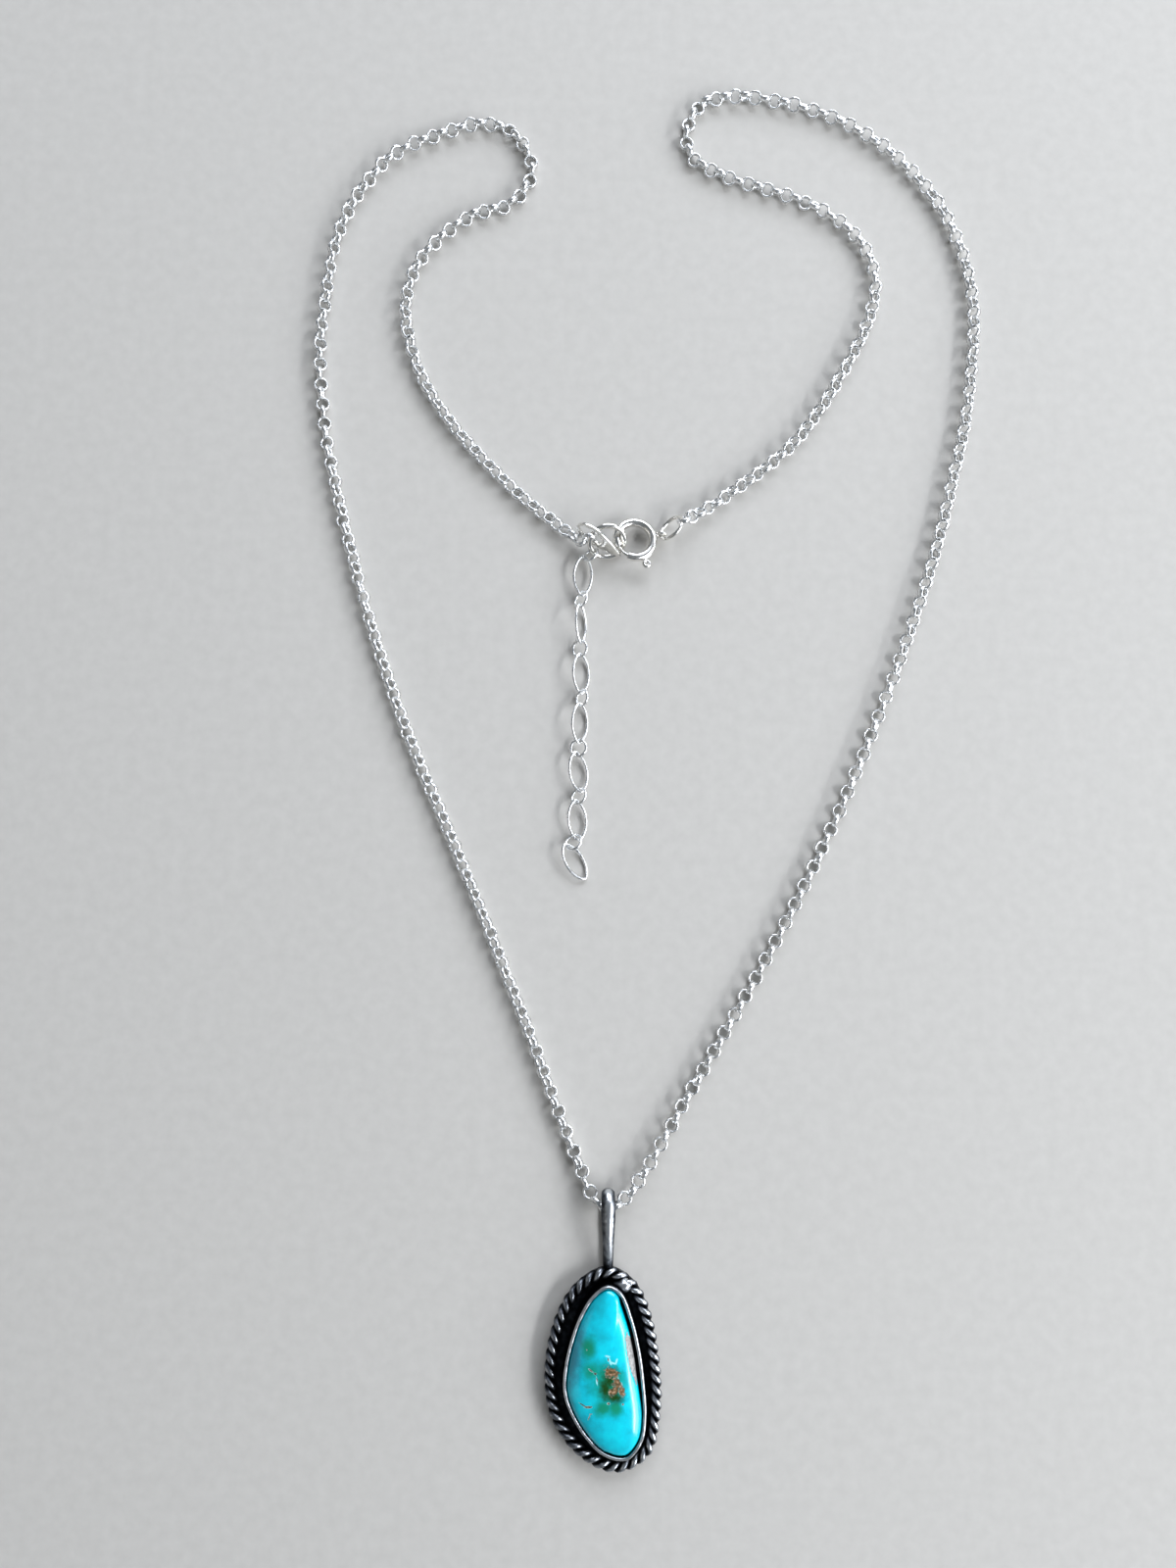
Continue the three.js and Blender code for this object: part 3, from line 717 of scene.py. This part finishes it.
def arc_of_ring(name, radius, wire, span, around, across, slot=None):
    """A ring with the faces outside its span removed, and those of a slot in its outer side."""
    piece = wire_ring(name, radius, wire, around, across)
    edit(piece)
    mesh = bmesh.from_edit_mesh(piece.data)
    for face in mesh.faces:
        angle, distance, height = face_spot(face)
        outside = (angle - span[0]) % 360 > span[1] - span[0]
        in_slot = slot and slot[0] < angle < slot[1] and distance > radius and abs(height) < wire * 0.5
        face.select_set(bool(outside or in_slot))
    bmesh.update_edit_mesh(piece.data)
    bpy.ops.mesh.delete(type="FACE")
    bpy.ops.object.mode_set(mode="OBJECT")
    return piece


def close_ends(piece):
    edit(piece)
    bpy.ops.mesh.select_all(action="DESELECT")
    bpy.ops.mesh.select_non_manifold()
    bpy.ops.mesh.edge_face_add()
    bpy.ops.object.mode_set(mode="OBJECT")


def make_clasp():
    tube = arc_of_ring(
        "spring_ring_tube", CLASP_RADIUS, CLASP_TUBE, (CLASP_GAP[1], CLASP_GAP[0] + 360), 120, 24,
        slot=CLASP_SLOT,
    )
    apply_modifier(tube, "SOLIDIFY", thickness=CLASP_WALL * MM, offset=-1)
    apply_modifier(tube, "BEVEL", width=0.035 * MM, segments=2, limit_method="ANGLE",
                   angle_limit=math.radians(50))
    centre, radius, wire = EYELET
    eyelet = wire_ring("eyelet", radius, wire, 40, 12)
    angle = math.radians(EYELET_ANGLE)
    at_rim = Matrix.Translation(Vector((centre * math.cos(angle), centre * math.sin(angle), 0)) * MM)
    upright = Matrix.Rotation(math.radians(EYELET_TURN), 4, "Z") @ Matrix.Rotation(math.pi / 2, 4, "X")
    apply_place(eyelet, at_rim @ upright)
    deselect_all()
    bpy.ops.mesh.primitive_cone_add(
        vertices=20, radius1=COLLAR[2] * MM, radius2=COLLAR[3] * MM, depth=(COLLAR[1] - COLLAR[0]) * MM,
    )
    collar = bpy.context.object
    halfway = Matrix.Translation(Vector(((COLLAR[0] + COLLAR[1]) / 2, 0, 0)) * MM)
    apply_place(collar, Matrix.Rotation(angle, 4, "Z") @ halfway @ Matrix.Rotation(math.pi / 2, 4, "Y"))
    apply_modifier(collar, "BEVEL", width=0.06 * MM, segments=3, limit_method="ANGLE",
                   angle_limit=math.radians(50))
    clasp = join("spring_ring_shell", [tube, eyelet, collar])
    apply_place(clasp, lean_matrix(CLASP_PLACE, CLASP_LEAN))
    return finish_piece(clasp, clasp_silver, ["spring_ring_body"], smooth=45)


def make_trigger():
    bolt = arc_of_ring("bolt", CLASP_RADIUS, BOLT_RADIUS, BOLT_SPAN, 120, 12)
    close_ends(bolt)
    centre, radius, wire = LEVER_LOOP
    stem_length = centre - radius - CLASP_RADIUS
    deselect_all()
    bpy.ops.mesh.primitive_cylinder_add(vertices=14, radius=LEVER_STEM * MM, depth=stem_length * MM)
    stem = bpy.context.object
    turn = Matrix.Rotation(math.radians(LEVER_ANGLE), 4, "Z")
    stem_middle = Matrix.Translation(Vector((CLASP_RADIUS + stem_length / 2, 0, 0)) * MM)
    apply_place(stem, turn @ stem_middle @ Matrix.Rotation(math.pi / 2, 4, "Y"))
    loop = wire_ring("lever_loop", radius, wire, 32, 12)
    apply_place(loop, turn @ Matrix.Translation(Vector((centre, 0, 0)) * MM))
    trigger = join("spring_ring_lever", [bolt, stem, loop])
    apply_place(trigger, lean_matrix(CLASP_PLACE, CLASP_LEAN))
    return finish_piece(
        trigger, clasp_silver, ["spring_ring_trigger"], body=TRIGGER_BODY, smooth=50,
    )


make_clasp()
make_trigger()

# ---------------------------------------------------------------- quality tag


def make_tag():
    """Two outlines bridged to a flat drop with a hole, thickened and softened along its edges."""
    hole_centre, hole_length, hole_width = TAG_HOLE
    turns = [2 * math.pi * k / 72 for k in range(72)]
    outer = []
    for turn in turns:
        half_width = TAG_HALF_WIDTH * (TAG_TAPER * abs(math.cos(turn / 2)) + TAG_TIP)
        outer.append((-TAG_LENGTH / 2 * math.cos(turn), -half_width * math.sin(turn), 0))
    inner = [
        (hole_centre - hole_length * math.cos(turn), -hole_width * math.sin(turn), 0) for turn in turns
    ]
    tag = join("quality_tag_plate", [loop_of_edges("tag_outside", outer), loop_of_edges("tag_hole", inner)])
    edit(tag)
    bpy.ops.mesh.select_all(action="SELECT")
    bpy.ops.mesh.bridge_edge_loops()
    bpy.ops.object.mode_set(mode="OBJECT")
    apply_modifier(tag, "SOLIDIFY", thickness=TAG_THICKNESS * MM, offset=0)
    apply_modifier(tag, "BEVEL", width=0.06 * MM, segments=2, limit_method="ANGLE",
                   angle_limit=math.radians(50))
    close_seams(tag)
    lie = [math.radians(angle) for angle in TAG_TURN]
    apply_place(tag, Matrix.Translation(Vector(TAG_PLACE) * MM) @ Euler(lie, "XYZ").to_matrix().to_4x4())
    return finish_piece(tag, clasp_silver, ["quality_tag"], smooth=35)


make_tag()

# ---------------------------------------------------------------- extender


def link_matrix(place, turns):
    heading, pitch, roll = (math.radians(angle) for angle in turns)
    turn = Matrix.Rotation(heading, 4, "Z") @ Matrix.Rotation(pitch, 4, "X") @ Matrix.Rotation(roll, 4, "Y")
    return Matrix.Translation(Vector(place) * MM) @ turn


def long_line(turn):
    """The wire's middle line in a long link, as far round as turn."""
    across = math.cos(turn) * abs(math.cos(turn)) ** LONG_POINT
    return Vector((LONG_HALF[0] * across, LONG_HALF[1] * math.sin(turn), 0))


def long_link(name):
    """A ring of wire drawn out to a marquise, rounder at its tips."""
    piece = wire_ring(name, 1, EXTENDER_WIRE, 56, 10)
    for vertex in piece.data.vertices:
        spot = vertex.co / MM
        turn = math.atan2(spot.y, spot.x)
        out = math.hypot(spot.x, spot.y) - 1
        along = (long_line(turn + 0.02) - long_line(turn - 0.02)).normalized()
        middle = long_line(turn)
        vertex.co = Vector((middle.x + along.y * out, middle.y - along.x * out, spot.z)) * MM
    return piece


for number, (spot, turns) in enumerate(LONG_LINKS, 1):
    wire = long_link(f"long_link_{number}_wire")
    apply_place(wire, link_matrix(spot, turns))
    finish_piece(wire, chain_silver, [f"long_link_{number}"], smooth=60)

for number, (spot, turns) in enumerate(SHORT_LINKS, 1):
    wire = wire_ring(f"short_link_{number}_wire", SHORT_RADIUS, EXTENDER_WIRE, 36, 10)
    apply_place(wire, link_matrix(spot, turns))
    finish_piece(wire, chain_silver, [f"short_link_{number}"], smooth=60)

# ---------------------------------------------------------------- pendant

bezel = Outline(BEZEL_OUTLINE)
border = Outline(BORDER_OUTLINE)


def make_back_plate():
    """The sheet under everything: its outline filled, thickened upwards and its edge filed round."""
    corners = [(*border.offset(k / 120, PLATE_MARGIN), 0.0) for k in range(120)]
    plate = loop_of_edges("back_plate", corners)
    edit(plate)
    bpy.ops.mesh.select_all(action="SELECT")
    bpy.ops.mesh.edge_face_add()
    extrude_step((0, 0, PLATE_THICKNESS))
    # Splits the top into a ring of faces along its edge and one face inside them.
    bpy.ops.mesh.inset(thickness=PLATE_EDGE_RING * MM)
    bpy.ops.object.mode_set(mode="OBJECT")
    apply_modifier(plate, "BEVEL", width=0.1 * MM, segments=3, limit_method="ANGLE",
                   angle_limit=math.radians(60))
    close_seams(plate)
    set_wear_and_light(plate, lambda spot: 0.2 if spot[2] > PLATE_THICKNESS - 0.02 else 0.62)
    return finish_piece(plate, oxidised_silver, ["pendant_setting"], smooth=40)


def make_bezel():
    """A strip of sheet on edge, soldered down, its top pressed over the stone and burnished."""
    foot = PLATE_THICKNESS - 0.05
    # How far inside the outline, and how high.
    section = [
        (-0.24, foot), (-0.1, foot + 0.14), (-0.01, foot + 0.4), (0.0, 1.6), (-0.01, 2.3),
        (-0.02, BEZEL_TOP - 0.22), (0.01, BEZEL_TOP - 0.09), (0.09, BEZEL_TOP - 0.01), (0.2, BEZEL_TOP),
        (0.31, BEZEL_TOP - 0.04), (0.38, BEZEL_TOP - 0.13), (0.39, BEZEL_TOP - 0.26), (BEZEL_WALL, 2.3),
        (BEZEL_WALL, foot),
    ]
    rim = drawn_along("bezel_strip", [bezel.at(k / 220) for k in range(220)], section=section, flat=True)
    for vertex in rim.data.vertices:
        # The pressed edge wavers a little, as one worked by hand does.
        along = vertex.co.y / MM
        waver = 0.03 * math.sin(1.9 * along + 0.4) + 0.02 * math.sin(4.3 * along + vertex.co.x / MM)
        vertex.co.z += waver * ease((vertex.co.z / MM - 1.8) / 1.1) * MM
    set_wear_and_light(rim, lambda spot: 0.1 + 0.95 * ease((spot[2] - 2.2) / 0.6))
    return finish_piece(rim, oxidised_silver, smooth=60)


def make_border():
    """Two wires twisted together round the border and soldered down; on top each crosses outwards
    as it goes clockwise. As the turns are a half more than a whole number, one wire makes both."""
    steps = 760
    line = []
    for k in range(steps):
        part = 2 * k / steps
        angle = 2 * math.pi * STRAND_TURNS * part
        spot = border.offset(part, math.sin(angle) * STRAND_OFFSET)
        line.append((spot[0], spot[1], BORDER_HEIGHT + math.cos(angle) * STRAND_OFFSET))
    rope = drawn_along("border_wires", line, radius=STRAND_RADIUS, across=4)

    middles = np.array([border.at(k / 400) for k in range(400)])

    def wear_and_light(spot):
        off_middle = np.min(np.linalg.norm(middles - spot[:2], axis=1))
        reach = math.hypot(off_middle, spot[2] - BORDER_HEIGHT)
        # Painted shade: the left side is darkened, away from the light, and the right side kept bright.
        buffed_and_lit = 0.72 + 0.28 * ease((spot[0] + 9.0) / 7.0)
        return 0.06 + 0.9 * buffed_and_lit * ease((reach - 0.46) / 0.26) * ease((spot[2] - 0.85) / 0.8)

    set_wear_and_light(rope, wear_and_light)
    return finish_piece(rope, oxidised_silver, smooth=80)


def make_bail():
    """A strip, domed outside and flatter inside, bent over the chain and soldered down."""
    line = smooth_line(BAIL_LINE, steps=7)
    across = 20
    y, z, half_width, half_thick = line[0]
    section = []
    for k in range(across):
        angle = 2 * math.pi * k / across
        dome = math.cos(angle + BAIL_CROWN * math.sin(angle))
        thick = half_thick * (dome if dome > 0 else BAIL_INSIDE * dome)
        section.append((BAIL_X + half_width * math.sin(angle), y, z + thick))
    bail = loop_of_edges("bail_strip", section)
    directions = []
    for k in range(len(line)):
        ahead = line[min(k + 1, len(line) - 1)] - line[max(k - 1, 0)]
        directions.append(math.atan2(ahead[1], ahead[0]))
    edit(bail)
    bpy.ops.mesh.select_all(action="SELECT")
    bpy.ops.transform.rotate(
        value=-directions[0], orient_axis="X", center_override=(BAIL_X * MM, y * MM, z * MM),
    )
    bpy.ops.mesh.edge_face_add()
    for before, after, turned, turn in zip(line, line[1:], directions, directions[1:]):
        extrude_step(
            (0, after[0] - before[0], after[1] - before[1]),
            grow=(after[2] / before[2], after[3] / before[3], after[3] / before[3]),
            centre=(BAIL_X, after[0], after[1]),
            turn=-((turn - turned + math.pi) % (2 * math.pi) - math.pi),
        )
    bpy.ops.object.mode_set(mode="OBJECT")
    close_seams(bail)

    def wear_and_light(spot):
        # The crown of the strip is buffed, its flanks and its foot much less. A painted highlight
        # runs along the crown a little right of its middle, and painted shade darkens the end towards the
        # pendant.
        crown = ease(1.25 - abs(spot[0] - BAIL_X - 0.12) / 0.55)
        height = ease((spot[2] - 1.2) / 1.3)
        return (0.2 + 0.9 * height * (0.25 + 0.75 * crown)) * (1 - 0.4 * ease((-61.0 - spot[1]) / 3.0))

    set_wear_and_light(bail, wear_and_light)
    return finish_piece(bail, oxidised_silver, smooth=60)


def make_solder():
    """The bead of solder where the bail, the border and the bezel meet at the pendant's head."""
    deselect_all()
    bpy.ops.mesh.primitive_uv_sphere_add(segments=32, ring_count=16, radius=MM)
    bead = bpy.context.object
    bead.name = bead.data.name = "solder_bead"
    for vertex in bead.data.vertices:
        spot = vertex.co / MM
        uneven = 0.1 * math.sin(5 * spot.x + 1) + 0.08 * math.sin(7 * spot.y)
        vertex.co = Vector(SOLDER_PLACE) * MM + Vector((
            spot.x * (SOLDER_SIZE[0] + uneven), spot.y * (SOLDER_SIZE[1] + uneven), spot.z * SOLDER_SIZE[2],
        )) * MM
    # Buffed bright, with a painted highlight that grows towards the bead's right side, where the light
    # falls.
    set_wear_and_light(bead, lambda spot: 0.5 + 0.45 * ease((spot[0] + 4.8) / 1.4))
    return finish_piece(bead, oxidised_silver, smooth=80)


def stone_edge(part):
    """The stone fills the bezel, but stands off it at its upper right."""
    spot = bezel.at(part)
    gap = BEZEL_WALL + STONE_GAP
    if spot[0] > STONE_CENTRE[0]:
        gap += STONE_RIGHT_GAP * ease((-65.6 - spot[1]) / 2.0) * (0.2 + 0.8 * ease((spot[1] + 81.5) / 6.0))
    return bezel.offset(part, -gap)


def make_stone():
    """The ground outline drawn up into a low dome, ring by ring, and smoothed."""
    columns = 120
    base = STONE_PROFILE[0][1]
    stone = loop_of_edges("cabochon", [(*stone_edge(k / columns), base) for k in range(columns)])
    edit(stone)
    bpy.ops.mesh.select_all(action="SELECT")
    bpy.ops.mesh.edge_face_add()
    for (reach, height), (next_reach, next_height) in zip(STONE_PROFILE, STONE_PROFILE[1:]):
        shrink = next_reach / reach
        extrude_step((0, 0, next_height - height), (shrink, shrink, 1), (*STONE_CENTRE, next_height))
    bpy.ops.mesh.extrude_region_move()
    bpy.ops.mesh.merge(type="CENTER")
    bpy.ops.object.mode_set(mode="OBJECT")
    close_seams(stone)
    apply_modifier(stone, "SUBSURF", levels=2, render_levels=2)
    x, y, half_width, half_length, turn = HOST_ROCK
    turn = math.radians(turn)
    for vertex in stone.data.vertices:
        spot = vertex.co / MM
        away = Vector((spot.x - x, spot.y - y))
        across = (away.x * math.cos(turn) + away.y * math.sin(turn)) / half_width
        along = (-away.x * math.sin(turn) + away.y * math.cos(turn)) / half_length
        # The host rock wears lower than the turquoise beside it.
        low = ease((1.12 - math.hypot(across, along)) / 0.25) * ease((spot.z - 1.8) / 0.6)
        vertex.co.z -= HOST_ROCK_DEPTH * low * MM
    return finish_piece(stone, turquoise, ["turquoise_stone"], smooth=70)


make_back_plate()
make_bezel()
make_border()
make_bail()
make_solder()
make_stone()

# ---------------------------------------------------------------- surface, light and camera


def make_floor():
    deselect_all()
    bpy.ops.mesh.primitive_plane_add(size=3.0, location=(0, 0, 0))
    floor = bpy.context.object
    floor.name = "floor"
    floor.data.materials.append(matt_board())


def area_light(name, place, target, size, power, colour="#FFFFFF"):
    light = bpy.data.lights.new(name, "AREA")
    light.shape = "RECTANGLE"
    light.size, light.size_y = size
    light.energy = power
    light.color = linear(colour)[:3]
    lamp = bpy.data.objects.new(name, light)
    bpy.context.collection.objects.link(lamp)
    lamp.location = place
    lamp.rotation_euler = (Vector(target) - Vector(place)).to_track_quat("-Z", "Y").to_euler()


def make_light():
    world = bpy.data.worlds.new("studio")
    bpy.context.scene.world = world
    world.use_nodes = True
    backdrop = world.node_tree.nodes["Background"]
    backdrop.inputs["Color"].default_value = linear("#9AA0A6")
    backdrop.inputs["Strength"].default_value = 0.52
    area_light("right_window", (0.66, -0.22, 0.34), (0, 0, 0), (0.8, 0.42), 5.5, "#F4F8FF")
    area_light("right_strip", (0.6, -0.2, 0.46), (0, 0, 0), (0.8, 0.1), 3.0, "#F4F8FF")
    area_light("top_window", (0.25, 0.7, 0.46), (0, 0, 0), (1.0, 0.42), 8.5, "#EEF4FF")
    area_light("low_fill", (-0.8, -0.3, 0.5), (0, 0, 0), (0.8, 0.8), 0.6, "#FFF4E6")
    bpy.context.scene.view_settings.view_transform = "Standard"


def make_camera():
    data = bpy.data.cameras.new("camera")
    data.sensor_width = 36
    data.lens = 27.05
    data.clip_start = 0.005
    data.clip_end = 10
    camera = bpy.data.objects.new("camera", data)
    bpy.context.collection.objects.link(camera)
    eye = Vector((-7.35, -15.75, 148.9)) * MM
    target = Vector((-7.35, -4.55, 0)) * MM
    backward = (eye - target).normalized()
    right = Vector((1, 0, 0))
    upward = backward.cross(right)
    camera.matrix_world = Matrix.Translation(eye) @ Matrix((right, upward, backward)).transposed().to_4x4()
    bpy.context.scene.camera = camera


make_floor()
make_light()
make_camera()
